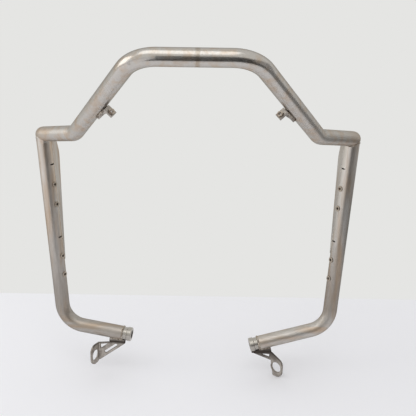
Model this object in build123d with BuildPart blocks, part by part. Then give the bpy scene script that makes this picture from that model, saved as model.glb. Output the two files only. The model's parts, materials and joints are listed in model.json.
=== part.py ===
from build123d import *
import os
from math import cos, radians, sin, tan

# Motorcycle crash bars: a bent upper hoop, two side tubes and their welded fittings.
# Millimetres, +Z up, the front of the guard towards -Y, right and left as seen from the front.
# Points are taken from the knees: half width, distance from them fore or aft, height above them.

# Tube stock
tube_d = 26.0
tube_wall = 2.0
cope_gap = 0.1

# Upper hoop
crown_half_width = 82.0
crown_forward = 220.0
crown_height = 501.0
crown_bend_r = 54.0
shoulder_half_width = 199.0
shoulder_forward = 67.0
shoulder_height = 373.0
shoulder_bend_r = 34.0
corner_half_width = 273.0
corner_height = 360.0
corner_bend_r = 30.0
tail_length = 30.0
tail_droop = 14.0

# Plug in the end of each tail
cap_thickness = 3.0
cap_chamfer = 1.0
spigot_length = 12.0
spigot_gap = 0.15

# Side tubes
knee_half_width = 251.5
knee_bend_r = 44.0

# The two lower ends differ in the place of the collar's face, and in the saddle behind it
collar_forward = 16.0
right_collar_half_width = 102.0
right_collar_drop = 34.5
right_saddle_start = 1.0
right_saddle_length = 37.0
right_saddle_depth = 1.0
left_collar_half_width = 121.0
left_collar_drop = 16.5
left_saddle_start = 11.0
left_saddle_length = 29.5
left_saddle_depth = 2.6

# Turned collar
ring_length = 9.0
ring_chamfer = 1.0
neck_length = 8.0
neck_d = 23.6
collar_bore_d = 16.0

# Gusset plates at the corners, inboard of the side tube's axis, the left one larger
gusset_thickness = 3.0
gusset_inboard = 9.5
gusset_shoulder = 40.0
gusset_corner_r = 30.0
gusset_foot = 8.0
right_gusset_depth = 40.0
right_gusset_length = 215.0
left_gusset_depth = 46.0
left_gusset_length = 235.0

# Saddle under the lower run
saddle_width = 13.0

# Foot bracket: a web in the upright plane of the lower run, and a lug folded forwards from it
plate_thickness = 3.0
plate_bend_r = 1.5
heel_depth = 11.0
window_margin = 1.5
window_corner_r = 1.0
lug_flare = 6.0
lug_corner_r = 13.0
lug_hole_d = 20.5
lug_rim = 3.25
lug_ring = 2.5

# Right bracket: a short web with one window, and a lug that hangs below it
right_toe_depth = 2.5
right_web_length = 36.5
right_web_rake = 25.5
right_fold_length = 16.0
right_fold_angle = 47.0
right_window_tip = 16.5
right_window_bar = 4.5
right_window_height = 7.0
right_lug_length = 26.5
right_lug_top = -5.0
right_lug_bottom = 38.0
right_hole_drop = 19.0

# Left bracket: a long web with a window above a slot, and a lug level with it
left_toe_depth = 8.0
left_web_length = 49.5
left_web_rake = 37.0
left_fold_length = 35.5
left_fold_angle = 75.0
left_window_tip = 32.0
left_window_bar = 22.0
left_window_height = 9.5
left_lug_length = 25.5
left_lug_top = 20.0
left_lug_bottom = 20.0
left_hole_drop = 2.0
slot_length = 31.0
slot_width = 5.0
slot_along = 30.0
slot_rise = 7.0

# Shoulder tab, placed along the shoulder from its lower bend, turned inwards and down
tab_start = 82.0
tab_turn = 45.0
tab_width = 12.0
tab_thickness = 4.0
tab_bend_r = 4.0
tab_foot = 10.0
tab_arm = 16.0
tab_rise = 3.0
ear_length = 16.0
ear_gap = 0.5
ear_hole_out = 10.5
ear_hole_d = 6.6
nut_across = 9.0
nut_height = 2.5
nut_bore_d = 5.0

# Inserts and locating slits in the side tube, placed from the corner
insert_first = 53.0
insert_pitch = 36.5
insert_group_pitch = 135.0
insert_turn = 65.0
insert_body_d = 8.0
insert_flange_d = 10.5
insert_flange = 1.0
insert_depth = 9.0
insert_bore_d = 5.0
insert_gap = 0.1
slit_length = 9.0
slit_height = 2.4

# Values that follow from the sizes above
tube_r = tube_d / 2
tube_bore_r = tube_r - tube_wall
cope_r = tube_r + cope_gap
spigot_r = tube_bore_r - spigot_gap
neck_r = neck_d / 2
lug_hole_r = lug_hole_d / 2
collar_bore_r = collar_bore_d / 2
collar_length = ring_length + neck_length
half_plate = plate_thickness / 2
inward, back, up = Vector(-1, 0, 0), Vector(0, 1, 0), Vector(0, 0, 1)

crown = Vector(crown_half_width, -crown_forward, crown_height)
shoulder = Vector(shoulder_half_width, -shoulder_forward, shoulder_height)
corner = Vector(corner_half_width, 0, corner_height)
tail_way = back * cos(radians(tail_droop)) - up * sin(radians(tail_droop))
tail_end = corner + tail_way * tail_length

os.makedirs("parts", exist_ok=True)
pieces = {}


def keep(piece, name):
    """Label a finished piece and hold it for the export."""
    piece.part.label = name
    pieces[name] = piece.part


def keep_pair(piece, name):
    """Keep a right-hand piece and its mirror image."""
    keep(piece, f"right_{name}")
    with BuildPart() as mirrored:
        mirror(piece.part, about=Plane.YZ)
    keep(mirrored, f"left_{name}")


def handed(point, hand):
    """Point or direction of the right half, or of the left half where the hand is -1."""
    return Vector(hand * point.X, point.Y, point.Z)


# Centre line of the hoop from tail to tail, and the place where a side tube meets it
hoop_half = [crown, shoulder, corner, tail_end]
hoop_radii = [crown_bend_r, shoulder_bend_r, corner_bend_r]
with BuildLine() as hoop_line:
    FilletPolyline(
        *[handed(point, -1) for point in reversed(hoop_half)],
        *hoop_half,
        radius=hoop_radii[::-1] + hoop_radii,
    )
hoop_start = Plane(origin=hoop_line.line @ 0, z_dir=hoop_line.line % 0)
joint = hoop_line.edges().filter_by(GeomType.CIRCLE).sort_by_distance(corner)[0] @ 0.5
knee = Vector(knee_half_width, 0, 0)
side_way = (knee - joint).normalized()

# Solid rods a weld gap wider than the tubes, which cope what is welded against the tubes
with BuildPart() as hoop_rod:
    with BuildSketch(hoop_start):
        Circle(cope_r)
    sweep(path=hoop_line.line)

with BuildPart() as side_rod:
    with BuildSketch(Plane(origin=joint, z_dir=side_way)):
        Circle(cope_r)
    extrude(amount=left_gusset_length)

# Upper hoop: crown bar, shoulders, stubs and tails in one bent tube
with BuildPart() as upper_hoop:
    with BuildSketch(hoop_start):
        Circle(tube_r)
        Circle(tube_bore_r, mode=Mode.SUBTRACT)
    sweep(path=hoop_line.line)
keep(upper_hoop, "upper_hoop")

# Plug that closes a tail, turned with a spigot inside the tube
tail_side = tail_way.cross(up).normalized()
with BuildPart() as end_cap:
    with BuildSketch(Plane(origin=tail_end, x_dir=tail_side, z_dir=tail_side.cross(tail_way))):
        with BuildLine():
            Polyline(
                (0, -spigot_length),
                (spigot_r, -spigot_length),
                (spigot_r, 0),
                (tube_r, 0),
                (tube_r, cap_thickness - cap_chamfer),
                (tube_r - cap_chamfer, cap_thickness),
                (0, cap_thickness),
                close=True,
            )
        make_face()
    revolve(axis=Axis(tail_end, tail_way))
keep_pair(end_cap, "end_cap")

# Gussets: tapering plates behind the side tubes, coped to the tube, the hoop's tail and its plug
gusset_inner = back.cross(side_way).normalized()
gusset_plane = Plane(origin=joint + gusset_inner * gusset_inboard, x_dir=back, z_dir=gusset_inner)
right_gusset = ("right", right_gusset_depth, right_gusset_length)
left_gusset = ("left", left_gusset_depth, left_gusset_length)
for side, gusset_depth, gusset_length in (right_gusset, left_gusset):
    with BuildPart() as gusset:
        with BuildSketch(gusset_plane) as gusset_face:
            with BuildLine():
                Polyline(
                    (0, 0),
                    (tail_length, tail_length * sin(radians(tail_droop))),
                    (gusset_depth, gusset_shoulder),
                    (gusset_foot, gusset_length),
                    (0, gusset_length),
                    close=True,
                )
            make_face()
            fillet(gusset_face.vertices().sort_by(Axis.X)[-1], gusset_corner_r)
        extrude(amount=gusset_thickness)
        for neighbour in (hoop_rod, side_rod, end_cap):
            add(neighbour.part, mode=Mode.SUBTRACT)
        if side == "left":
            mirror(about=Plane.YZ, mode=Mode.REPLACE)
    keep(gusset, f"{side}_gusset")

# The way the inserts and slits face, square to the side tube
insert_aim = inward * sin(radians(insert_turn)) - back * cos(radians(insert_turn))
insert_way = (insert_aim - side_way * insert_aim.dot(side_way)).normalized()


def station(group, step, hand):
    """Plane on a side tube's axis at one place of a group of three, facing outwards."""
    distance = insert_first + group * insert_group_pitch + step * insert_pitch
    return Plane(
        origin=handed(joint + side_way * distance, hand),
        x_dir=handed(side_way, hand),
        z_dir=handed(insert_way, hand),
    )


# Threaded inserts, two in each group, with a flange on the tube
for group, group_name in enumerate(("upper", "lower")):
    with BuildPart() as inserts:
        for seat in (station(group, 1, 1), station(group, 2, 1)):
            with BuildSketch(seat.offset(tube_r)):
                Circle(insert_flange_d / 2)
            extrude(amount=insert_flange)
            with BuildSketch(seat.offset(tube_r)):
                Circle(insert_body_d / 2)
            extrude(amount=-insert_depth)
            with BuildSketch(seat.offset(tube_r + insert_flange)):
                Circle(insert_bore_d / 2)
            extrude(amount=-insert_flange - insert_depth, mode=Mode.SUBTRACT)
    keep_pair(inserts, f"{group_name}_inserts")

# Shoulder tab: a strap on the shoulder, lifting off it to an ear that stands across its end
shoulder_way = (crown - shoulder).normalized()
tab_aim = inward * cos(radians(tab_turn)) - up * sin(radians(tab_turn))
tab_out = (tab_aim - shoulder_way * tab_aim.dot(shoulder_way)).normalized()
tab_plane = Plane(
    origin=shoulder + shoulder_way * tab_start + tab_out * tube_r,
    x_dir=shoulder_way,
    z_dir=shoulder_way.cross(tab_out),
)
tab_reach = tab_foot + tab_arm
half_tab = tab_thickness / 2
ear_plane = Plane(
    origin=tab_plane.from_local_coords(Vector(tab_reach, ear_hole_out)),
    x_dir=tab_plane.z_dir,
    z_dir=shoulder_way,
)
with BuildPart() as shoulder_tab:
    with BuildSketch(tab_plane):
        with BuildLine():
            FilletPolyline(
                (0, half_tab), (tab_foot, half_tab), (tab_reach, half_tab + tab_rise), radius=tab_bend_r
            )
        trace(line_width=tab_thickness)
        with Locations((tab_reach, ear_gap + ear_length / 2)):
            Rectangle(tab_thickness, ear_length)
    extrude(amount=tab_width / 2, both=True)
    with BuildSketch(ear_plane):
        Circle(ear_hole_d / 2)
    extrude(amount=tab_thickness, both=True, mode=Mode.SUBTRACT)
keep_pair(shoulder_tab, "shoulder_tab")

# Weld nut on the ear, on the side of the crown
with BuildPart() as tab_nut:
    with BuildSketch(ear_plane.offset(half_tab)):
        RegularPolygon(nut_across / 2, 6, major_radius=False)
        Circle(nut_bore_d / 2, mode=Mode.SUBTRACT)
    extrude(amount=nut_height)
keep_pair(tab_nut, "tab_nut")

# Each side tube with its lower end
right_collar_face = Vector(right_collar_half_width, -collar_forward, -right_collar_drop)
left_collar_face = Vector(-left_collar_half_width, -collar_forward, -left_collar_drop)
right_web = (right_toe_depth, right_web_length, right_web_rake, right_fold_length, right_fold_angle)
left_web = (left_toe_depth, left_web_length, left_web_rake, left_fold_length, left_fold_angle)
right_cuts = (right_window_tip, right_window_bar, right_window_height, [])
left_cuts = (left_window_tip, left_window_bar, left_window_height, [(slot_along, slot_rise)])
right_lug = (right_lug_length, right_lug_top, right_lug_bottom, right_hole_drop)
left_lug = (left_lug_length, left_lug_top, left_lug_bottom, left_hole_drop)
right_seat = (right_saddle_start, right_saddle_length, right_saddle_depth)
left_seat = (left_saddle_start, left_saddle_length, left_saddle_depth)
right_end = ("right", 1, right_collar_face, right_seat, right_web, right_cuts, right_lug)
left_end = ("left", -1, left_collar_face, left_seat, left_web, left_cuts, left_lug)
for side, hand, collar_face, seat, web, cuts, lug_sizes in (right_end, left_end):
    saddle_start, saddle_length, saddle_depth = seat
    toe_depth, web_length, web_rake, fold_length, fold_angle = web
    window_tip, window_bar, window_height, slots = cuts
    lug_length, lug_top, lug_bottom, hole_drop = lug_sizes
    side_joint = handed(joint, hand)
    side_knee = handed(knee, hand)
    run_way = (collar_face - side_knee).normalized()
    run_side = run_way.cross(up).normalized()
    run_upright = run_side.cross(run_way)

    # Side tube: coped under the hoop, drilled for the inserts and slit beside them
    with BuildLine() as side_line:
        FilletPolyline(
            side_joint, side_knee, collar_face - run_way * collar_length, radius=knee_bend_r
        )
    with BuildPart() as side_tube:
        with BuildSketch(Plane(origin=side_joint, z_dir=handed(side_way, hand))):
            Circle(tube_r)
            Circle(tube_bore_r, mode=Mode.SUBTRACT)
        sweep(path=side_line.line)
        add(hoop_rod.part, mode=Mode.SUBTRACT)
        for group in range(2):
            with BuildSketch(station(group, 1, hand), station(group, 2, hand)):
                Circle(insert_body_d / 2 + insert_gap)
            extrude(amount=tube_d, mode=Mode.SUBTRACT)
            with BuildSketch(station(group, 0, hand)):
                SlotOverall(slit_length, slit_height, rotation=90)
            extrude(amount=tube_d, mode=Mode.SUBTRACT)
    keep(side_tube, f"{side}_side_tube")

    # Collar: turned with a ring, a neck and a spigot inside the tube
    with BuildPart() as collar:
        with BuildSketch(Plane(origin=collar_face, x_dir=run_side, z_dir=run_upright)):
            with BuildLine():
                Polyline(
                    (collar_bore_r, 0),
                    (tube_r - ring_chamfer, 0),
                    (tube_r, -ring_chamfer),
                    (tube_r, ring_chamfer - ring_length),
                    (tube_r - ring_chamfer, -ring_length),
                    (neck_r, -ring_length),
                    (neck_r, -collar_length),
                    (spigot_r, -collar_length),
                    (spigot_r, -collar_length - spigot_length),
                    (collar_bore_r, -collar_length - spigot_length),
                    close=True,
                )
            make_face()
        revolve(axis=Axis(collar_face, run_way))
    keep(collar, f"{side}_collar")

    # Saddle: a block coped to the lower run, level underneath
    saddle_seat = collar_face - run_way * saddle_start
    saddle_base = saddle_seat - run_upright * (tube_r + saddle_depth)
    with BuildPart() as saddle:
        with BuildSketch(Plane(origin=saddle_seat, x_dir=run_side, z_dir=-run_way)):
            Rectangle(saddle_width, tube_d, align=(Align.CENTER, Align.MAX))
            Circle(tube_r, mode=Mode.SUBTRACT)
        extrude(amount=saddle_length)
        split(bisect_by=Plane(origin=saddle_base, z_dir=up), keep=Keep.TOP)
    keep(saddle, f"{side}_saddle")

    # Web of the foot bracket: its corners, outwards and up from its toe, and the corners of its window
    out_way = Vector(-run_way.X, -run_way.Y, 0).normalized()
    web_front = out_way.cross(up) * hand
    saddle_end = saddle_seat - run_way * saddle_length
    toe = saddle_seat - run_upright * (tube_r + toe_depth)
    web_plane = Plane(origin=toe, x_dir=out_way, z_dir=out_way.cross(up))
    web_slope = tan(radians(web_rake))
    edge_way = Vector(cos(radians(web_rake)), -sin(radians(web_rake)))
    edge_up = Vector(sin(radians(web_rake)), cos(radians(web_rake)))
    fold_foot = Vector(web_length, -web_length * web_slope)
    fold_top = fold_foot + Vector(0, fold_length)
    heel = web_plane.to_local_coords(saddle_end - run_upright * (tube_r + heel_depth))
    heel_top = web_plane.to_local_coords(saddle_end - run_upright * tube_r)
    neck = web_plane.to_local_coords(saddle_seat - run_upright * tube_r)
    window_end = web_length - window_margin
    window_low = Vector(window_end, window_bar - window_end * web_slope)
    window_high = window_low + Vector(0, window_height)
    window_point = Vector(window_tip, window_bar - window_tip * web_slope)

    # The fold's axis in front of the web, and the lug that leaves it
    fold_middle = web_plane.from_local_coords((fold_foot + fold_top) / 2)
    fold_axis = Axis(fold_middle + web_front * (half_plate + plate_bend_r), up * -hand)
    lug_start = fold_axis.position + (fold_middle - fold_axis.position).rotate(fold_axis, fold_angle)
    lug_way = out_way.rotate(fold_axis, fold_angle)

    # Foot bracket: one folded plate, its web coped to the saddle and its lug folded forwards
    with BuildPart() as foot_bracket:
        with BuildSketch(web_plane):
            with BuildLine():
                Polyline(neck, (0, 0), fold_foot, fold_top, heel, heel_top, close=True)
            make_face()
            with BuildLine():
                FilletPolyline(window_point, window_low, window_high, radius=window_corner_r, close=True)
            make_face(mode=Mode.SUBTRACT)
            for along, rise in slots:
                with Locations(edge_way * along + edge_up * rise):
                    SlotOverall(slot_length, slot_width, rotation=-web_rake, mode=Mode.SUBTRACT)
        extrude(amount=half_plate, both=True)
        add(saddle.part, mode=Mode.SUBTRACT)
        with BuildSketch(Plane(origin=collar_face, x_dir=run_side, z_dir=-run_way)):
            Circle(cope_r)
        extrude(amount=saddle_start + saddle_length + web_length, mode=Mode.SUBTRACT)
        with BuildSketch(Plane(origin=fold_middle, x_dir=up, z_dir=out_way)):
            Rectangle(fold_length, plate_thickness)
        revolve(axis=fold_axis, revolution_arc=fold_angle)
        with BuildSketch(Plane(origin=lug_start, x_dir=lug_way, z_dir=lug_way.cross(up))) as lug:
            with BuildLine():
                Polyline(
                    (0, -fold_length / 2),
                    (lug_flare, -lug_bottom),
                    (lug_length, -lug_bottom),
                    (lug_length, lug_top),
                    (0, fold_length / 2),
                    close=True,
                )
            make_face()
            fillet(lug.vertices().group_by(Axis.X)[-1], lug_corner_r)
            with Locations((lug_length - lug_rim - lug_hole_r, -hole_drop)):
                Circle(lug_hole_r + lug_ring)
                Circle(lug_hole_r, mode=Mode.SUBTRACT)
        extrude(amount=half_plate, both=True)
    keep(foot_bracket, f"{side}_foot_bracket")

# The finished guard, with its lowest point on the floor and its middle over the origin
boxes = [piece.bounding_box() for piece in pieces.values()]
front_y = min(box.min.Y for box in boxes)
rear_y = max(box.max.Y for box in boxes)
floor_z = min(box.min.Z for box in boxes)
stand = Location((0, -(front_y + rear_y) / 2, -floor_z))
for name, piece in pieces.items():
    export_step(piece.moved(stand), f"parts/{name}.step")
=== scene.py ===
"""Looks of welded motorcycle crash bars: bare steel tube, plate fittings and their weld beads."""

import json
import math

import bmesh
import bpy
from mathutils import Matrix, Vector
from mathutils.bvhtree import BVHTree


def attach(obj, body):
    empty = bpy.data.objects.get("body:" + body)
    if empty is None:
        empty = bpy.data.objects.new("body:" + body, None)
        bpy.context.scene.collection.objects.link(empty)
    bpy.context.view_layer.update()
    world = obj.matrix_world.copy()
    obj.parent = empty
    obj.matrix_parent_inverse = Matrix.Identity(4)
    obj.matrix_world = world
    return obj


bl_info = {
    "name": "Motorcycle crash bars",
    "version": (1, 0, 0),
    "blender": (4, 5, 0),
    "location": "3D View > Sidebar > Crash bars",
    "description": "Finishes the steel and adds the weld beads of a pair of welded crash bars",
    "category": "Object",
}

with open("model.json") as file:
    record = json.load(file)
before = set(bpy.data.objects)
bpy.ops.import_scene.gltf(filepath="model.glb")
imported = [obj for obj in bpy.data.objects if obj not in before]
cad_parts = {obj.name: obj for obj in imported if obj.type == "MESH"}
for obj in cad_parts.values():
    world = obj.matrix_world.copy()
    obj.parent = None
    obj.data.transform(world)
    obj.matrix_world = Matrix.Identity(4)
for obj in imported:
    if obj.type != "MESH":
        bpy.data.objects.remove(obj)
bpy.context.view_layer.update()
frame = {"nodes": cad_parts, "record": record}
nodes = frame["nodes"]
mounts = {mount["name"]: mount for mount in frame["record"]["mounts"]}

MM = 0.001
UP = Vector((0, 0, 1))
SIDES = {"right": 1, "left": -1}


def linear(code):
    """Linear colour of an sRGB hex value."""
    parts = [int(code[i : i + 2], 16) / 255 for i in (1, 3, 5)]
    return tuple(p / 12.92 if p <= 0.04045 else ((p + 0.055) / 1.055) ** 2.4 for p in parts)


def colour(name, description, code):
    """Colour property with its default given as a hex value."""
    return bpy.props.FloatVectorProperty(
        name=name, description=description, default=linear(code), size=3, min=0, max=1, subtype="COLOR"
    )


def length(name, description, millimetres):
    """Length property with its default given in millimetres."""
    return bpy.props.FloatProperty(
        name=name, description=description, default=millimetres * MM, unit="LENGTH", subtype="DISTANCE"
    )


class CrashBarFinishes(bpy.types.PropertyGroup):
    """Colours of the metal and of the room around it."""

    steel: colour("Steel", "Bare tube where the grinding is clean", "#D2CDC7")
    # Lighter tone given to the side tubes up towards the corners, set by height alone
    lighter_upper_steel: colour("Bare steel", "Side tube where it was ground last, near the corners", "#E6E1DA")
    dull_steel: colour("Dull steel", "Bare tube between the grinding strokes", "#B5B1AB")
    straw: colour("Straw", "Heat colour and old lacquer on the tube", "#BDA387")
    glue: colour("Glue", "Brown ring that old tape left round the crown", "#8F7A5C")
    # This colour also darkens the side tubes round the knees and along the left lower run, which is painted
    # shade there, with some real dirt
    scuff_and_shade: colour("Scuff", "Scuffs and dirt ground into the tube", "#7A6E62")
    plate: colour("Plate", "Rolled plate of the fittings", "#C2BBB3")
    plate_scale: colour("Plate scale", "Darker rolling scale on the plate", "#8C847C")
    cut_edge: colour("Cut edge", "Oxide along the cut edges of the plate", "#463C34")
    turned: colour("Turned steel", "Turned collars", "#B4AFA7")
    bead: colour("Weld bead", "Clean crest of a weld bead", "#BDB4A8")
    bead_edge: colour("Bead edge", "Heat-stained flank of a weld bead", "#7D6E5F")
    # This dark stands for weld soot and also for painted shade under the tube, the saddles and the foot welds
    scorch_and_shade: colour("Scorch", "Soot and oxide round the welds of the feet", "#2E251F")
    fitting: colour("Fitting", "Plated inserts and nuts", "#B5AA9C")
    rust: colour("Rust", "Rust in the inserts and nuts", "#5E3A22")
    floor: colour("Floor", "Pale studio floor", "#F1F1F4")
    wall: colour("Wall", "Pale backdrop past the floor's far edge", "#E5E5E3")
    room: colour("Room", "Even light of the studio", "#E6E6E6")


class CrashBarSizes(bpy.types.PropertyGroup):
    """Sizes that the weld beads follow."""

    tube_radius: length("Tube radius", "Outside radius of the bent tube", 13)
    corner_bead: length("Corner bead", "Half width of the bead under a corner", 1.5)
    collar_bead: length("Collar bead", "Half width of the bead round a collar's neck", 2.1)
    plate_bead: length("Plate bead", "Half width of the beads along the plates", 1.5)
    tab_bead: length("Tab bead", "Half width of the beads along the shoulder tabs", 2.1)
    small_bead: length("Small bead", "Half width of the beads round the plugs", 1.1)
    ripple: length("Ripple", "Distance from one ripple of a bead to the next", 2.4)
    collar_length: length("Collar", "Length of a collar's ring and neck", 17)
    saddle_width: length("Saddle", "Width of a saddle across the lower run", 13)
    plate: length("Plate", "Thickness of the foot brackets' plate", 3)


# Places and directions in the row's frame, in metres, on the right-hand side
CORNER_JOINT = Vector((0.27047, 0.09471, 0.4564))
SIDE_WAY = Vector((-0.0527, -0.0029, -0.9986))
TAIL_START = Vector((0.273, 0.1102, 0.45266))
TAIL_END = Vector((0.273, 0.12277, 0.44953))
SHOULDER = Vector((0.199, 0.02666, 0.46979))
CROWN = Vector((0.082, -0.12634, 0.59779))
TAB_OUT = Vector((-0.72, -0.02, -0.69))
TAB_REACH = 82 * MM
COLLAR_HALF_BORE = 14.5 * MM

# Where each saddle starts behind its collar's face, its length, and its depth under the tube there
SADDLES = {"right": (1 * MM, 37 * MM, 1 * MM), "left": (11 * MM, 29.5 * MM, 2.6 * MM)}
GUSSET_LENGTHS = {"right": 215 * MM, "left": 235 * MM}

# How the middles of the beads lie against the edges that they join
CORNER_INSET, CORNER_DROP, CORNER_SPREAD = 0.9 * MM, 0.5 * MM, 0.3 * MM
COLLAR_GAP, COLLAR_INSET, PLUG_INSET = 0.2 * MM, 1.0 * MM, 0.4 * MM
SADDLE_MARGIN, SADDLE_SPREAD, SADDLE_DROP = 1.5 * MM, 0.5 * MM, 0.2 * MM
FOOT_MARGIN, FOOT_SPREAD, FOOT_DROP = 3 * MM, 0.5 * MM, 0.5 * MM

# A gusset's two seams, inboard of the side tube's middle line and behind it,
# and what they leave bare at the top and at the lower end
GUSSET_SEAMS = {"inner": (11.7 * MM, 4.2 * MM), "outer": (9.6 * MM, 9.4 * MM)}
GUSSET_TOP, GUSSET_MARGIN = 20 * MM, 4 * MM

# One half of a tab's bead, in millimetres along the shoulder, across it and out from it
TAB_EDGE = ((25.5, 4.8, 1.0), (12, 5.6, -0.3), (0.6, 5.6, -0.4), (-0.6, 4.2, 0))

# Beads: how much width each metal keeps between two ripples, and every bead keeps at its ends
DIPS = {"Weld metal": 0.84, "Scorched weld in painted shade": 0.84, "Ground seam": 0.97}
BEAD_END = 0.55
BEAD_FACETS = 10
RING_TURNS, RING_STEPS = 1.02, 72
CORNER_METALS = {"right": "Weld metal", "left": "Ground seam"}
# A corner's seam is sought upwards from this far under the joint
CORNER_SEEK = 60 * MM

# Ground fill of a corner: its first and last angle round the outer side, its top and bottom under the joint,
# its thickness, and how far it crowns above edges that sink a little into the tubes
FILL_ANGLES = (-40, 105)
FILL_TOP, FILL_BOTTOM = 0.5 * MM, 24 * MM
FILL_THICKNESS, FILL_CROWN, FILL_SINK = 1.2 * MM, 0.25 * MM, 0.15 * MM
# Its crease is sought this far inside the side tube's skin, and its top from this far outside
FILL_INSET, FILL_SEEK = 0.2 * MM, 40 * MM
# Share of its height that it keeps at both ends
FILL_TIP = 0.04
FILL_GRID = (30, 6)

# Noise patterns, each scaled from the real width of its marks
# Grinding strokes are a few tenths of a millimetre wide, drawn as 2.5 mm so that they show
STROKES = {"Scale": 1 / (2.5 * MM), "Detail": 4.0, "Roughness": 0.65}
LACQUER_STREAKS = {"Scale": 1 / (14 * MM), "Detail": 2.0, "Roughness": 0.55}
HEAT_CLOUDS = {"Scale": 1 / (55 * MM), "Detail": 3.0, "Roughness": 0.55}
SCUFF_MARKS = {"Scale": 1 / (16 * MM), "Detail": 7.0, "Roughness": 0.75}
SCALE_PATCHES = {"Scale": 1 / (12 * MM), "Detail": 5.0, "Roughness": 0.65}
# Rolling grit is about 0.1 mm across, drawn as 1.6 mm so that it shows
PLATE_GRIT = {"Scale": 1 / (1.6 * MM), "Detail": 3.0, "Roughness": 0.6}
COLLAR_CLOUDS = {"Scale": 1 / (9 * MM), "Detail": 4.0, "Roughness": 0.55}
BEAD_STAINS = {"Scale": 1 / (4 * MM), "Detail": 3.0, "Roughness": 0.55}
RUST_SPOTS = {"Scale": 1 / (6 * MM), "Detail": 4.0, "Roughness": 0.65}
# Tool rings stand 0.2 mm apart, drawn at 1.5 mm so that they show
TOOL_RINGS = 1.5 * MM

# Heights above the floor between which the side tubes change: their strokes turn along the lower run,
# the steel is lighter up towards the corners, and it darkens round the knees
RUN_HEIGHTS = (0.125, 0.1)
LIGHTER_HEIGHTS = (0.3, 0.4)
DARKEN_ABOVE = (0.3, 0.17)
DARKEN_BELOW = (0.1, 0.135)
# Share of darkening at each knee, and along the lower run, where the left run's is painted shade of the light
# from the left with some real dirt
DARKENING = {"right": (0.55, 0.0), "left": (0.5, 0.3)}
# Roughness of the tubes where their gloss is worn off
WORN_ROUGHNESS = 0.48
# Heat colour and the crown's brown ring fade between these distances, which noise makes ragged
HEAT_FADE = (6 * MM, 30 * MM)
RING_FADE = (0.8 * MM, 2.0 * MM)
CROWN_RING = 4.4 * MM

# Weld soot and painted shade of the tube and saddle, measured from a saddle's underside: down to clean and to
# black plate on the bracket, and up to clean and to black plate on the saddle
BRACKET_SOOT_AND_SHADE = {"right": (24 * MM, 1 * MM), "left": (9 * MM, 3.5 * MM)}
SADDLE_SOOT_AND_SHADE = {"right": 40 * MM, "left": 6 * MM}
SADDLE_DARKEST = 0.8 * MM
# Plugs and tabs lie far below these heights, so they have no soot or painted shade
NO_SOOT_OR_SHADE = (1.0, 2.0)
# Share of oxide along the cut edges of the feet, and of the cleaner plugs and tabs, and how wide it lies
FOOT_OXIDE, CLEAN_OXIDE = 0.9, 0.15
EDGE_WIDTH = 1.8 * MM

# Steel reflects less at a glancing angle where it is worn and oxidised
EDGE_TINT = (0.5, 0.49, 0.48, 1.0)

# The floor's far edge and the width of its soft line
FLOOR_EXTENT = (40, 40)
FLOOR_EDGE, FLOOR_LINE = 0.4307, 0.006

# Grey cards: tone, extent, axis and degrees of their turn, place
CARDS = {
    "low_card": (0.05, (2.9, 1.7), ("X", 0), (1.05, -1.6, 0.004)),
    "low_right_card": (0.25, (1.7, 1.9), ("X", 0), (1.65, 0.2, 0.004)),
    "front_card": (0.1, (2.9, 1.15), ("X", 90), (1.05, -2.4, 0.575)),
    "right_card": (0.4, (1.3, 2.9), ("Y", 90), (2.2, -0.95, 0.65)),
}

# Lamps: place, power in watts, extent
LAMPS = {
    "Softbox": ((-0.5, -1.1, 2.5), 11.0, (2.4, 1.6)),
    "Left panel": ((-2.2, -0.2, 1.1), 8.0, (1.4, 1.4)),
}
LAMP_AIM = Vector((0, 0.05, 0.3))

# Camera: place, lens and sensor width in millimetres, and its yaw, tilt and roll in degrees
CAMERA_PLACE = (0.024443, -0.94705, 0.62529)
CAMERA_LENS, CAMERA_SENSOR = 51.92, 36.0
CAMERA_TURNS = (("Z", 0.271), ("X", 90 - 15.992), ("Z", 0.828))


def rgba(shade):
    """Colour property as a socket value."""
    return (*shade, 1.0)


def add(tree, kind, inputs=(), **options):
    """Add a node with its settings and links.

    An input is a plain value, an output socket, or a node, which stands for its first live output.
    """
    made = tree.nodes.new(kind)
    for key, value in options.items():
        setattr(made, key, value)
    for socket, value in inputs.items() if isinstance(inputs, dict) else enumerate(inputs):
        if isinstance(value, bpy.types.Node):
            value = next(output for output in value.outputs if output.enabled)
        if isinstance(value, bpy.types.NodeSocket):
            tree.links.new(value, made.inputs[socket])
        else:
            made.inputs[socket].default_value = value
    return made


def blank(name):
    """New material with an empty tree, and the coordinates of the piece that wears it."""
    material = bpy.data.materials.new(name)
    material.use_nodes = True
    tree = material.node_tree
    tree.nodes.clear()
    return material, tree, add(tree, "ShaderNodeTexCoord").outputs["Object"]


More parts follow.
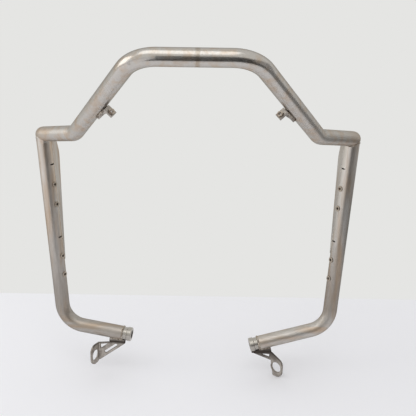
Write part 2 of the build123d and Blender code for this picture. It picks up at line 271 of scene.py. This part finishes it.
def tube_steel(name, stretches, grain, lacquer, heat_points, heat, wear, gloss, darkening=None, rings=()):
    """Stainless tube, bent and ground by hand, whose gloss fades between the two heights of its wear.

    The strokes follow the first of the stretches, and on the lower run the second.
    """
    # Ground stainless gives a satin warm grey with long soft reflections, fine strokes along the tube,
    # straw heat colour near the welds, streaks of old lacquer and small dark scuffs
    finish = bpy.context.scene.crash_bar_finishes
    material, tree, place = blank(name)
    spot = add(tree, "ShaderNodeSeparateXYZ", [place])
    height = spot.outputs["Z"]
    strokes = streaks = None
    for stretch in stretches:
        drawn = add(tree, "ShaderNodeMapping", {"Vector": place, "Scale": stretch})
        fine = add(tree, "ShaderNodeTexNoise", {"Vector": drawn, **STROKES})
        broad = add(tree, "ShaderNodeTexNoise", {"Vector": drawn, **LACQUER_STREAKS})
        if strokes is not None:
            run = add(tree, "ShaderNodeMapRange", [height, *RUN_HEIGHTS])
            fine = add(tree, "ShaderNodeMix", {0: run, 2: strokes, 3: fine})
            broad = add(tree, "ShaderNodeMix", {0: run, 2: streaks, 3: broad})
        strokes, streaks = fine, broad
    clouds = add(tree, "ShaderNodeTexNoise", {"Vector": place, **HEAT_CLOUDS})
    scuffs = add(tree, "ShaderNodeTexNoise", {"Vector": place, **SCUFF_MARKS})

    # Layers of colour over the dull steel, each with its amount
    layers = [(add(tree, "ShaderNodeMapRange", [strokes, 0.25, 0.75, *grain]), finish.steel)]
    # The side tubes are made lighter up towards the corners, by height alone
    if darkening:
        lightened = add(tree, "ShaderNodeMapRange", [height, *LIGHTER_HEIGHTS, 0.0, 0.6])
        layers.append((lightened, finish.lighter_upper_steel))
    layers.append((add(tree, "ShaderNodeMapRange", [streaks, 0.45, 0.7, 0.0, lacquer]), finish.straw))
    mirrored = add(tree, "ShaderNodeVectorMath", [place], operation="ABSOLUTE")
    for point in heat_points:
        apart = add(tree, "ShaderNodeVectorMath", [mirrored, point], operation="DISTANCE")
        ragged = add(tree, "ShaderNodeMath", [apart, clouds], operation="MULTIPLY")
        layers.append((add(tree, "ShaderNodeMapRange", [ragged, *HEAT_FADE, heat, 0.0]), finish.straw))
    for middle in rings:
        apart = add(tree, "ShaderNodeMath", [spot.outputs["X"], middle], operation="SUBTRACT")
        apart = add(tree, "ShaderNodeMath", [apart], operation="ABSOLUTE")
        ragged = add(tree, "ShaderNodeMath", [apart, strokes], operation="MULTIPLY")
        layers.append((add(tree, "ShaderNodeMapRange", [ragged, *RING_FADE, 0.4, 0.0]), finish.glue))
    layers.append((add(tree, "ShaderNodeMapRange", [scuffs, 0.62, 0.76, 0.0, 0.6]), finish.scuff_and_shade))
    # Darker round the knees by height, and along the left lower run, where it is painted shade of the light
    # from the left with some real dirt
    if darkening:
        at_knee, along_run = darkening
        above = add(tree, "ShaderNodeMapRange", [height, *DARKEN_ABOVE, 0.0, at_knee])
        below = add(tree, "ShaderNodeMapRange", [height, *DARKEN_BELOW, along_run, at_knee])
        layers.append((add(tree, "ShaderNodeMath", [above, below], operation="MINIMUM"), finish.scuff_and_shade))
    shade = rgba(finish.dull_steel)
    for amount, tone in layers:
        shade = add(tree, "ShaderNodeMix", {0: amount, 6: shade, 7: rgba(tone)}, data_type="RGBA")

    worn = add(tree, "ShaderNodeMapRange", [height, *wear, gloss, WORN_ROUGHNESS])
    ground = add(tree, "ShaderNodeMapRange", [strokes, 0.3, 0.7, 0.0, -0.08])
    surface = {
        "Base Color": shade,
        "Roughness": add(tree, "ShaderNodeMath", [worn, ground]),
        "Normal": add(tree, "ShaderNodeBump", {"Height": strokes, "Strength": 0.06, "Distance": 0.2 * MM}),
        "Metallic": 1.0,
        "Specular Tint": EDGE_TINT,
    }
    add(tree, "ShaderNodeOutputMaterial", [add(tree, "ShaderNodeBsdfPrincipled", surface)])
    return material


def rolled_plate(name, oxide, clean_at, darkest_at):
    """Rolled steel plate, cut and folded, with soot and painted shade from one height to another."""
    # Rolled plate gives a dull grey with darker scale in patches, dark oxide along its cut edges,
    # and brown-black soot where the torch stood, darkened further as painted shade under the tube and saddle
    finish = bpy.context.scene.crash_bar_finishes
    material, tree, place = blank(name)
    patches = add(tree, "ShaderNodeTexNoise", {"Vector": place, **SCALE_PATCHES})
    grit = add(tree, "ShaderNodeTexNoise", {"Vector": place, **PLATE_GRIT})
    # Sharp edges are those where the normal of a rounded edge leaves the face's own
    rounded = add(tree, "ShaderNodeBevel", {"Radius": EDGE_WIDTH}, samples=8)
    face = add(tree, "ShaderNodeNewGeometry").outputs["True Normal"]
    along = add(tree, "ShaderNodeVectorMath", [rounded, face], operation="DOT_PRODUCT")
    height = add(tree, "ShaderNodeSeparateXYZ", [place]).outputs["Z"]
    shade = rgba(finish.plate)
    for amount, tone in (
        (add(tree, "ShaderNodeMapRange", [patches, 0.4, 0.7]), finish.plate_scale),
        (add(tree, "ShaderNodeMapRange", [along, 0.99, 0.85, 0.0, oxide]), finish.cut_edge),
        # Painted shade with some weld soot: the plate darkens towards the saddle's underside, where the
        # tube's shadow falls
        (add(tree, "ShaderNodeMapRange", [height, clean_at, darkest_at, 0.0, 0.9]), finish.scorch_and_shade),
    ):
        shade = add(tree, "ShaderNodeMix", {0: amount, 6: shade, 7: rgba(tone)}, data_type="RGBA")
    surface = {
        "Base Color": shade,
        "Roughness": add(tree, "ShaderNodeMapRange", [grit, 0.3, 0.7, 0.42, 0.6]),
        "Normal": add(tree, "ShaderNodeBump", {"Height": grit, "Strength": 0.2, "Distance": 0.2 * MM}),
        "Metallic": 1.0,
        "Specular Tint": EDGE_TINT,
    }
    add(tree, "ShaderNodeOutputMaterial", [add(tree, "ShaderNodeBsdfPrincipled", surface)])
    return material


def turned_steel(name, axis):
    """Turned steel of a collar, whose tool rings go round its own axis."""
    # Turned steel gives brighter, sharper reflections than the tube, broken by fine rings
    finish = bpy.context.scene.crash_bar_finishes
    material, tree, place = blank(name)
    along = add(tree, "ShaderNodeVectorMath", [place, axis], operation="DOT_PRODUCT")
    turns = add(tree, "ShaderNodeMath", [along, math.tau / TOOL_RINGS], operation="MULTIPLY")
    grooves = add(tree, "ShaderNodeMath", [turns], operation="SINE")
    clouds = add(tree, "ShaderNodeTexNoise", {"Vector": place, **COLLAR_CLOUDS})
    dulled = add(tree, "ShaderNodeMapRange", [clouds, 0.42, 0.72, 0.0, 0.6])
    tones = {0: dulled, 6: rgba(finish.turned), 7: rgba(finish.dull_steel)}
    surface = {
        "Base Color": add(tree, "ShaderNodeMix", tones, data_type="RGBA"),
        "Roughness": add(tree, "ShaderNodeMapRange", [clouds, 0.3, 0.7, 0.22, 0.36]),
        "Normal": add(tree, "ShaderNodeBump", {"Height": grooves, "Strength": 0.25, "Distance": 0.1 * MM}),
        "Metallic": 1.0,
    }
    add(tree, "ShaderNodeOutputMaterial", [add(tree, "ShaderNodeBsdfPrincipled", surface)])
    return material


def weld_metal(name, crest, flank):
    """Weld metal of a bead, with its crest and its flank in these colours."""
    # Weld metal gives small rounded ripples, clean on their crests between heat-stained flanks
    material, tree, place = blank(name)
    stains = add(tree, "ShaderNodeTexNoise", {"Vector": place, **BEAD_STAINS})
    stained = add(tree, "ShaderNodeMapRange", [stains, 0.42, 0.66])
    tones = {0: stained, 6: rgba(crest), 7: rgba(flank)}
    surface = {
        "Base Color": add(tree, "ShaderNodeMix", tones, data_type="RGBA"),
        "Roughness": add(tree, "ShaderNodeMapRange", [stains, 0.3, 0.7, 0.34, 0.5]),
        "Metallic": 1.0,
    }
    add(tree, "ShaderNodeOutputMaterial", [add(tree, "ShaderNodeBsdfPrincipled", surface)])
    return material


def plated_fitting(name):
    """Zinc-plated steel of the inserts and nuts."""
    # Old zinc plating gives a dull grey with matt brown rust coming through
    finish = bpy.context.scene.crash_bar_finishes
    material, tree, place = blank(name)
    spots = add(tree, "ShaderNodeTexNoise", {"Vector": place, **RUST_SPOTS})
    rusty = add(tree, "ShaderNodeMapRange", [spots, 0.5, 0.7])
    tones = {0: rusty, 6: rgba(finish.fitting), 7: rgba(finish.rust)}
    surface = {
        "Base Color": add(tree, "ShaderNodeMix", tones, data_type="RGBA"),
        "Roughness": add(tree, "ShaderNodeMapRange", [spots, 0.5, 0.7, 0.35, 0.8]),
        "Metallic": add(tree, "ShaderNodeMapRange", [spots, 0.5, 0.7, 1.0, 0.2]),
    }
    add(tree, "ShaderNodeOutputMaterial", [add(tree, "ShaderNodeBsdfPrincipled", surface)])
    return material


def dress(material, *names):
    """Give CAD nodes their material."""
    for name in names:
        slots = nodes[name].data.materials
        slots.clear()
        slots.append(material)


def handed(point, hand):
    """Point or direction of the right-hand side, or its mirror image."""
    return Vector((point[0] * hand, point[1], point[2]))


def collar_face(side):
    """Middle of a collar's open face, and the way that it looks."""
    bore = mounts[f"{side}_collar_bore"]
    way = Vector(bore["axis"])
    return Vector(bore["pos_m"]) + way * COLLAR_HALF_BORE, way


def saddle_base(side):
    """Inner end of a saddle's level underside, and the ways along it, across the run and upwards from it."""
    sizes = bpy.context.scene.crash_bar_sizes
    face, way = collar_face(side)
    across = way.cross(UP).normalized()
    upright = across.cross(way)
    start, _, depth = SADDLES[side]
    base = face - way * start - upright * (sizes.tube_radius + depth)
    return base, Vector((-way.x, -way.y, 0)).normalized(), across, upright


def paced(path, step):
    """Points at even steps along a run of points."""
    spots, reach = [path[0].copy()], 0.0
    for start, end in zip(path, path[1:]):
        span = (end - start).length
        while reach + step <= span:
            reach += step
            spots.append(start.lerp(end, reach / span))
        reach -= span
    return spots


def ring(centre, axis, radius):
    """Points round an axis, a little more than once so that the stop covers the start."""
    across = axis.orthogonal().normalized()
    rise = axis.cross(across).normalized()
    angles = [math.tau * RING_TURNS * step / RING_STEPS for step in range(RING_STEPS + 1)]
    return [centre + (across * math.cos(angle) + rise * math.sin(angle)) * radius for angle in angles]


def settle(bm, name, material):
    """Make a finished bmesh a smooth piece of the guard."""
    bmesh.ops.recalc_face_normals(bm, faces=bm.faces)
    mesh = bpy.data.meshes.new(name)
    bm.to_mesh(mesh)
    bm.free()
    mesh.polygons.foreach_set("use_smooth", [True] * len(mesh.polygons))
    mesh.materials.append(bpy.data.materials[material])
    piece = bpy.data.objects.new(name, mesh)
    bpy.context.scene.collection.objects.link(piece)
    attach(piece, "root")


def weld(name, path, half_width, metal="Weld metal"):
    """Run a weld bead along a path of points, dipping between its ripples and thinner at its ends."""
    sizes = bpy.context.scene.crash_bar_sizes
    spots = paced(path, sizes.ripple / 2)
    last = len(spots) - 1
    bm = bmesh.new()
    bmesh.ops.create_circle(bm, cap_ends=True, segments=BEAD_FACETS, radius=half_width)
    front = list(bm.faces)
    before = Matrix.Identity(4)
    for index, spot in enumerate(spots):
        ahead = (spots[min(index + 1, last)] - spots[max(index - 1, 0)]).normalized()
        turn = way.rotation_difference(ahead) @ turn if index else ahead.to_track_quat("Z", "Y")
        way = ahead
        swell = (1.0, DIPS[metal])[index % 2] * (BEAD_END if index in (0, last) else 1.0)
        here = Matrix.LocRotScale(spot, turn, Vector((swell, swell, 1)))
        if index:
            made = bmesh.ops.extrude_face_region(bm, geom=front)["geom"]
            front = [item for item in made if isinstance(item, bmesh.types.BMFace)]
        corners = {corner for face in front for corner in face.verts}
        bmesh.ops.transform(bm, matrix=here @ before.inverted(), verts=list(corners))
        before = here
    settle(bm, name, metal)


def ground_corner(name, material, joint, way, hoop):
    """Fill the outer side of a corner, from the hoop down to the side tube, like a weld ground flush."""
    sizes = bpy.context.scene.crash_bar_sizes
    front = (Vector((0, -1, 0)) + way * way.y).normalized()
    out = Vector((math.copysign(1, joint.x), 0, 0))
    out = (out - way * out.dot(way)).normalized()
    first, final = FILL_ANGLES
    columns, rows = FILL_GRID
    bm = bmesh.new()
    bmesh.ops.create_grid(bm, x_segments=columns, y_segments=rows, size=0.5)
    for corner in bm.verts:
        round_it, down = corner.co.x + 0.5, corner.co.y + 0.5
        angle = math.radians(first + (final - first) * round_it)
        aim = out * math.cos(angle) + front * math.sin(angle)
        below = joint + way * CORNER_SEEK + aim * (sizes.tube_radius - FILL_INSET)
        crease = hoop.ray_cast(below, -way)[0]
        upper = hoop.ray_cast(joint + way * FILL_TOP + aim * FILL_SEEK, -aim)[0]
        if crease is None or upper is None:
            raise RuntimeError("the corner's fill does not reach the hoop")
        lower = joint + way * FILL_BOTTOM + aim * sizes.tube_radius
        # The fill narrows to the crease at both ends
        ease = max(FILL_TIP, math.sin(math.pi * round_it) ** 0.5)
        proud = FILL_CROWN * math.sin(math.pi * down) * ease - FILL_SINK
        corner.co = crease.lerp(upper, ease).lerp(crease.lerp(lower, ease), down) + aim * proud
    made = bmesh.ops.extrude_face_region(bm, geom=list(bm.faces))["geom"]
    for corner in [item for item in made if isinstance(item, bmesh.types.BMVert)]:
        apart = corner.co - joint
        corner.co -= (apart - way * apart.dot(way)).normalized() * FILL_THICKNESS
    settle(bm, name, material)


def sheet(scene, name, material, extent, turn):
    """Lay a flat sheet of the stage, of that width and depth."""
    bm = bmesh.new()
    bmesh.ops.create_grid(bm, x_segments=1, y_segments=1, size=0.5)
    bmesh.ops.scale(bm, vec=(*extent, 1), verts=bm.verts)
    bmesh.ops.transform(bm, matrix=turn, verts=bm.verts)
    mesh = bpy.data.meshes.new(name)
    bm.to_mesh(mesh)
    bm.free()
    mesh.materials.append(material)
    flat = bpy.data.objects.new(name, mesh)
    scene.collection.objects.link(flat)
    return flat


class CRASHBARS_OT_steel(bpy.types.Operator):
    """Give the tubes, plates, collars and fittings their steel"""

    bl_idname = "crash_bars.steel"
    bl_label = "Steel"

    def execute(self, context):
        finish = context.scene.crash_bar_finishes
        corner = tuple(CORNER_JOINT)
        hoop = tube_steel(
            "Ground tube, hoop",
            stretches=[(1.0, 1.0, 1.0)],
            grain=(0.3, 0.8),
            lacquer=0.5,
            heat_points=[corner],
            heat=0.35,
            wear=(0.57, 0.47),
            gloss=0.27,
            rings=[CROWN_RING],
        )
        dress(hoop, "upper_hoop")
        for side in SIDES:
            bore = mounts[f"{side}_collar_bore"]
            tube = tube_steel(
                f"Ground tube, {side} side",
                stretches=[(1.0, 1.0, 0.12), (0.12, 1.0, 1.0)],
                grain=(0.0, 1.0),
                lacquer=0.75,
                heat_points=[corner, tuple(abs(part) for part in bore["pos_m"])],
                heat=0.15,
                wear=(0.2, 0.11),
                gloss=0.38,
                darkening=DARKENING[side],
            )
            dress(tube, f"{side}_side_tube", f"{side}_gusset")
            dress(turned_steel(f"Turned steel, {side} collar", bore["axis"]), f"{side}_collar")
            level = saddle_base(side)[0].z
            soot_and_shade = [level - depth for depth in BRACKET_SOOT_AND_SHADE[side]]
            # Brackets and saddles get painted shade, with some weld soot, darkening towards the saddles'
            # undersides
            dress(rolled_plate(f"Rolled plate, {side} bracket", FOOT_OXIDE, *soot_and_shade), f"{side}_foot_bracket")
            soot_and_shade = (level + SADDLE_SOOT_AND_SHADE[side], level + SADDLE_DARKEST)
            dress(rolled_plate(f"Rolled plate, {side} saddle", FOOT_OXIDE, *soot_and_shade), f"{side}_saddle")
        clean = rolled_plate("Rolled plate, clean", CLEAN_OXIDE, *NO_SOOT_OR_SHADE)
        dress(clean, *[f"{side}_{name}" for side in SIDES for name in ("end_cap", "shoulder_tab")])
        fittings = ("tab_nut", "upper_inserts", "lower_inserts")
        dress(plated_fitting("Plated fitting"), *[f"{side}_{name}" for side in SIDES for name in fittings])
        # Beads are left as welded, ground to the tube's own tone, or blackened by the torch and by painted
        # shade under the saddles
        weld_metal("Weld metal", finish.bead, finish.bead_edge)
        weld_metal("Ground seam", finish.steel, finish.dull_steel)
        weld_metal("Scorched weld in painted shade", finish.bead_edge, finish.scorch_and_shade)
        return {"FINISHED"}


class CRASHBARS_OT_corner_welds(bpy.types.Operator):
    """Run the beads where the side tubes meet the hoop's corners, and fill the corner that is ground flush"""

    bl_idname = "crash_bars.corner_welds"
    bl_label = "Corner welds"

    def execute(self, context):
        sizes = context.scene.crash_bar_sizes
        hoop = BVHTree.FromObject(nodes["upper_hoop"], context.evaluated_depsgraph_get())
        for side, hand in SIDES.items():
            joint, way = handed(CORNER_JOINT, hand), handed(SIDE_WAY, hand).normalized()
            below = joint + way * CORNER_SEEK
            seam = []
            for spot in ring(below, way, sizes.tube_radius - CORNER_INSET):
                touch = hoop.ray_cast(spot, -way)[0]
                if touch is None:
                    raise RuntimeError("a side tube's edge does not reach the hoop")
                seam.append(touch + way * CORNER_DROP + (spot - below).normalized() * CORNER_SPREAD)
            weld(f"{side}_corner_weld", seam, sizes.corner_bead, CORNER_METALS[side])
            if side == "left":
                ground_corner("left_corner_fill", "Ground tube, left side", joint, way, hoop)
        return {"FINISHED"}


class CRASHBARS_OT_end_welds(bpy.types.Operator):
    """Run the beads round the collars' necks and the tails' plugs"""

    bl_idname = "crash_bars.end_welds"
    bl_label = "Collar and plug welds"

    def execute(self, context):
        sizes = context.scene.crash_bar_sizes
        for side, hand in SIDES.items():
            face, way = collar_face(side)
            seat = face - way * (sizes.collar_length + COLLAR_GAP)
            weld(f"{side}_collar_weld", ring(seat, way, sizes.tube_radius - COLLAR_INSET), sizes.collar_bead)
            tail = handed(TAIL_END, hand)
            tail_way = (tail - handed(TAIL_START, hand)).normalized()
            weld(f"{side}_plug_weld", ring(tail, tail_way, sizes.tube_radius - PLUG_INSET), sizes.small_bead)
        return {"FINISHED"}


class CRASHBARS_OT_foot_welds(bpy.types.Operator):
    """Run the beads along the saddles, and between the saddles and the foot brackets"""

    bl_idname = "crash_bars.foot_welds"
    bl_label = "Foot welds"

    def execute(self, context):
        sizes = context.scene.crash_bar_sizes
        half = sizes.saddle_width / 2
        rise = math.sqrt(sizes.tube_radius**2 - half**2)
        for side in SIDES:
            face, way = collar_face(side)
            base, level, across, upright = saddle_base(side)
            start, reach, _ = SADDLES[side]
            near = max(start, sizes.collar_length) + SADDLE_MARGIN
            for edge, sign in (("front", 1), ("back", -1)):
                seam = across * sign * (half + SADDLE_SPREAD) - upright * (rise + SADDLE_DROP)
                path = [face - way * near + seam, face - way * (start + reach) + seam]
                weld(f"{side}_saddle_weld_{edge}", path, sizes.plate_bead)
                root = base + across * sign * (sizes.plate / 2 + FOOT_SPREAD) - UP * FOOT_DROP
                path = [root + level * FOOT_MARGIN, root + level * (reach - FOOT_MARGIN)]
                # The foot welds under the saddles are darkened as painted shade, with some torch soot
                weld(f"{side}_foot_weld_{edge}", path, sizes.plate_bead, "Scorched weld in painted shade")
        return {"FINISHED"}


class CRASHBARS_OT_gusset_welds(bpy.types.Operator):
    """Run the ground beads between the gussets and the side tubes"""

    bl_idname = "crash_bars.gusset_welds"
    bl_label = "Gusset welds"

    def execute(self, context):
        sizes = context.scene.crash_bar_sizes
        for side, hand in SIDES.items():
            joint, way = handed(CORNER_JOINT, hand), handed(SIDE_WAY, hand).normalized()
            inner = Vector((0, hand, 0)).cross(way)
            for face, (inboard, behind) in GUSSET_SEAMS.items():
                seam = joint + inner * inboard + Vector((0, behind, 0))
                path = [seam + way * GUSSET_TOP, seam + way * (GUSSET_LENGTHS[side] - GUSSET_MARGIN)]
                weld(f"{side}_gusset_weld_{face}", path, sizes.plate_bead, "Ground seam")
        return {"FINISHED"}


class CRASHBARS_OT_tab_welds(bpy.types.Operator):
    """Run the beads round the feet of the shoulder tabs"""

    bl_idname = "crash_bars.tab_welds"
    bl_label = "Tab welds"

    def execute(self, context):
        sizes = context.scene.crash_bar_sizes
        outline = [*TAB_EDGE, *[(along, -aside, out) for along, aside, out in reversed(TAB_EDGE)]]
        for side, hand in SIDES.items():
            foot = handed(SHOULDER, hand)
            way = (handed(CROWN, hand) - foot).normalized()
            out = handed(TAB_OUT, hand)
            out = (out - way * out.dot(way)).normalized()
            across = way.cross(out)
            seat = foot + way * TAB_REACH + out * sizes.tube_radius
            path = [seat + (way * a + across * b + out * c) * MM for a, b, c in outline]
            weld(f"{side}_tab_weld", path, sizes.tab_bead)
        return {"FINISHED"}


class CRASHBARS_OT_stage(bpy.types.Operator):
    """Make the pale floor, the studio light, the reflection cards and the camera"""

    bl_idname = "crash_bars.stage"
    bl_label = "Stage"

    def execute(self, context):
        scene = context.scene
        finish = scene.crash_bar_finishes
        # Painted studio floor, matt and pale, which gives way to the plain backdrop at its far edge
        material, tree, place = blank("Painted floor")
        depth = add(tree, "ShaderNodeSeparateXYZ", [place]).outputs["Y"]
        past = add(tree, "ShaderNodeMapRange", [depth, FLOOR_EDGE, FLOOR_EDGE + FLOOR_LINE])
        surface = {"Base Color": rgba(finish.floor), "Roughness": 0.8, "Specular IOR Level": 0.1}
        paint = add(tree, "ShaderNodeBsdfPrincipled", surface)
        plain = add(tree, "ShaderNodeEmission", {"Color": rgba(finish.wall), "Strength": 1.0})
        add(tree, "ShaderNodeOutputMaterial", [add(tree, "ShaderNodeMixShader", [past, paint, plain])])
        sheet(scene, "floor", material, FLOOR_EXTENT, Matrix.Identity(4))

        # Matt grey cards that only reflections see, which give the tubes their darker bands
        for name, (tone, extent, (axis, degrees), spot) in CARDS.items():
            material, tree, _ = blank(f"Matt card, {name}")
            surface = {"Base Color": (tone, tone, tone, 1), "Roughness": 1.0}
            add(tree, "ShaderNodeOutputMaterial", [add(tree, "ShaderNodeBsdfPrincipled", surface)])
            turn = Matrix.Rotation(math.radians(degrees), 4, axis)
            card = sheet(scene, name, material, extent, Matrix.Translation(spot) @ turn)
            card.visible_camera = False
            card.visible_diffuse = False
            card.visible_shadow = False

        # Even studio light, with the plain backdrop where the camera or a reflection looks past the floor
        world = bpy.data.worlds.new("Studio")
        scene.world = world
        world.use_nodes = True
        tree = world.node_tree
        tree.nodes.clear()
        rays = add(tree, "ShaderNodeLightPath").outputs
        seen = rays["Is Camera Ray"]
        for name in ("Is Glossy Ray", "Is Transmission Ray"):
            seen = add(tree, "ShaderNodeMath", [seen, rays[name]], operation="MAXIMUM")
        light = add(tree, "ShaderNodeBackground", {"Color": rgba(finish.room), "Strength": 1.0})
        plain = add(tree, "ShaderNodeBackground", {"Color": rgba(finish.wall), "Strength": 1.0})
        add(tree, "ShaderNodeOutputWorld", [add(tree, "ShaderNodeMixShader", [seen, light, plain])])
        for name, (spot, power, extent) in LAMPS.items():
            light = bpy.data.lights.new(name, "AREA")
            light.energy = power
            light.shape = "RECTANGLE"
            light.size, light.size_y = extent
            lamp = bpy.data.objects.new(name, light)
            lamp.location = spot
            lamp.rotation_mode = "QUATERNION"
            lamp.rotation_quaternion = (LAMP_AIM - Vector(spot)).to_track_quat("-Z", "Y")
            scene.collection.objects.link(lamp)

        camera = bpy.data.cameras.new("Camera")
        camera.lens = CAMERA_LENS
        camera.sensor_width = CAMERA_SENSOR
        holder = bpy.data.objects.new("Camera", camera)
        pose = Matrix.Translation(CAMERA_PLACE)
        for axis, degrees in CAMERA_TURNS:
            pose = pose @ Matrix.Rotation(math.radians(degrees), 4, axis)
        holder.matrix_world = pose
        scene.collection.objects.link(holder)
        scene.camera = holder
        scene.view_settings.view_transform = "Standard"
        return {"FINISHED"}


class CRASHBARS_PT_panel(bpy.types.Panel):
    """Steps that finish the crash bars"""

    bl_idname = "CRASHBARS_PT_panel"
    bl_label = "Crash bars"
    bl_space_type = "VIEW_3D"
    bl_region_type = "UI"
    bl_category = "Crash bars"

    def draw(self, context):
        for operator in OPERATORS:
            self.layout.operator(operator.bl_idname)
        for group in (context.scene.crash_bar_finishes, context.scene.crash_bar_sizes):
            box = self.layout.box()
            for name in group.__annotations__:
                box.prop(group, name)


OPERATORS = (
    CRASHBARS_OT_steel,
    CRASHBARS_OT_corner_welds,
    CRASHBARS_OT_end_welds,
    CRASHBARS_OT_foot_welds,
    CRASHBARS_OT_gusset_welds,
    CRASHBARS_OT_tab_welds,
    CRASHBARS_OT_stage,
)
CLASSES = (CrashBarFinishes, CrashBarSizes, *OPERATORS, CRASHBARS_PT_panel)


def register():
    """Add the classes and the settings that the scene holds."""
    for item in CLASSES:
        bpy.utils.register_class(item)
    bpy.types.Scene.crash_bar_finishes = bpy.props.PointerProperty(type=CrashBarFinishes)
    bpy.types.Scene.crash_bar_sizes = bpy.props.PointerProperty(type=CrashBarSizes)


def unregister():
    """Take the settings and the classes away again."""
    del bpy.types.Scene.crash_bar_sizes
    del bpy.types.Scene.crash_bar_finishes
    for item in reversed(CLASSES):
        bpy.utils.unregister_class(item)


def main():
    """Run every step in order."""
    register()
    bpy.ops.crash_bars.steel()
    bpy.ops.crash_bars.corner_welds()
    bpy.ops.crash_bars.end_welds()
    bpy.ops.crash_bars.foot_welds()
    bpy.ops.crash_bars.gusset_welds()
    bpy.ops.crash_bars.tab_welds()
    bpy.ops.crash_bars.stage()


if __name__ == "__main__":
    main()
